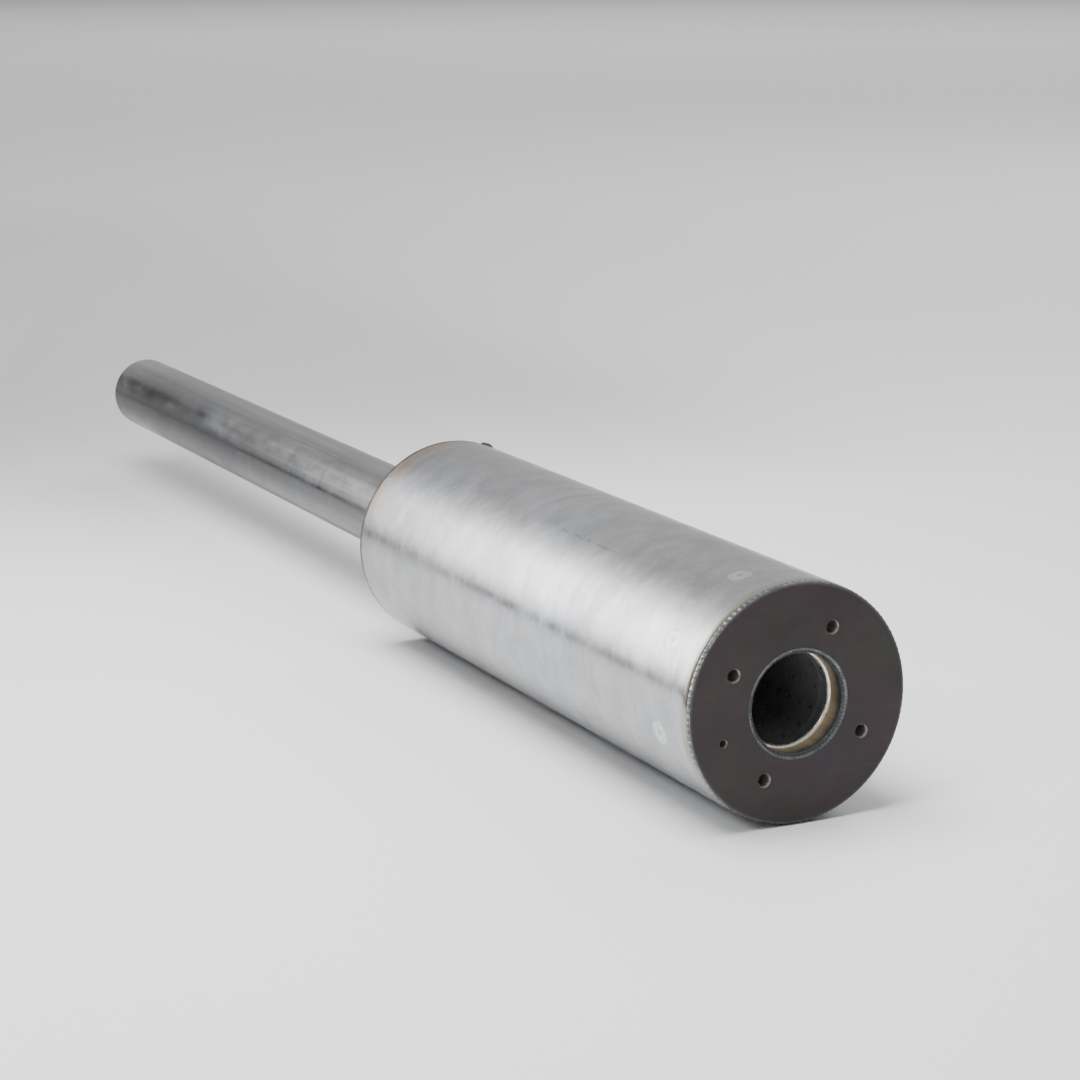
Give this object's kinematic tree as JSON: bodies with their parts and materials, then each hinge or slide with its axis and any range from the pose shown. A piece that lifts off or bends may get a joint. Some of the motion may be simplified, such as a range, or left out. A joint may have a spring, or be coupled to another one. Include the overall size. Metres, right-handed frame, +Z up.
{
  "type": "exhaust muffler",
  "caption": "Round welded steel exhaust muffler with a thick drilled bolting plate at one end, a perforated core inside and a long straight tail pipe at the other.",
  "frame": {"origin": "centre of the bolting plate's outer face, on the muffler's axis", "axes": "+X along the muffler's axis, out through the bolting plate; the tail pipe points along -X. +Z is up as the muffler lies in the picture, and +Y completes the right-handed set"},
  "size_m": [0.842, 0.102, 0.102],
  "materials": {
    "brushed_shell": "fine circumferential brushing, satin",
    "pipe_steel": "drawn tube with bluish heat marks, satin",
    "bright_weld": "rippled weld bead, glossy",
    "dark_weld": "oxidised weld metal, matte",
    "collar_weld": "rippled weld bead with grey-blue heat tint",
    "collar_steel": "machined, straw and blue heat tint",
    "core_steel": "perforated sheet, dull",
    "inner_sheet": "plain sheet, satin",
    "dark_plate": "hot-rolled plate with dark mill scale, semi-matte",
    "steel_wool": "matted steel wool",
    "glass_fibre": "loose glass fibre mat"
  },
  "bodies": {
    "root": {"outer_shell": "brushed_shell", "shell_seam_weld": "bright_weld", "front_plate": "dark_plate", "front_rim_weld": "bright_weld", "inlet_collar": "collar_steel", "inlet_collar_weld": "collar_weld", "collar_root_weld": "bright_weld", "core_stub": "collar_steel", "core_tack_welds": "bright_weld", "perforated_core": "core_steel", "core_seam_weld": "core_steel", "front_baffle": "inner_sheet", "baffle_plug_welds": "bright_weld", "steel_wool_wrap": "steel_wool", "fibre_packing": "glass_fibre", "rear_plate": "inner_sheet", "rear_rim_weld": "bright_weld", "rear_rim_tack": "dark_weld", "tail_pipe": "pipe_steel", "tail_pipe_weld": "bright_weld", "tail_seam_weld": "bright_weld"}
  },
  "joints": []
}
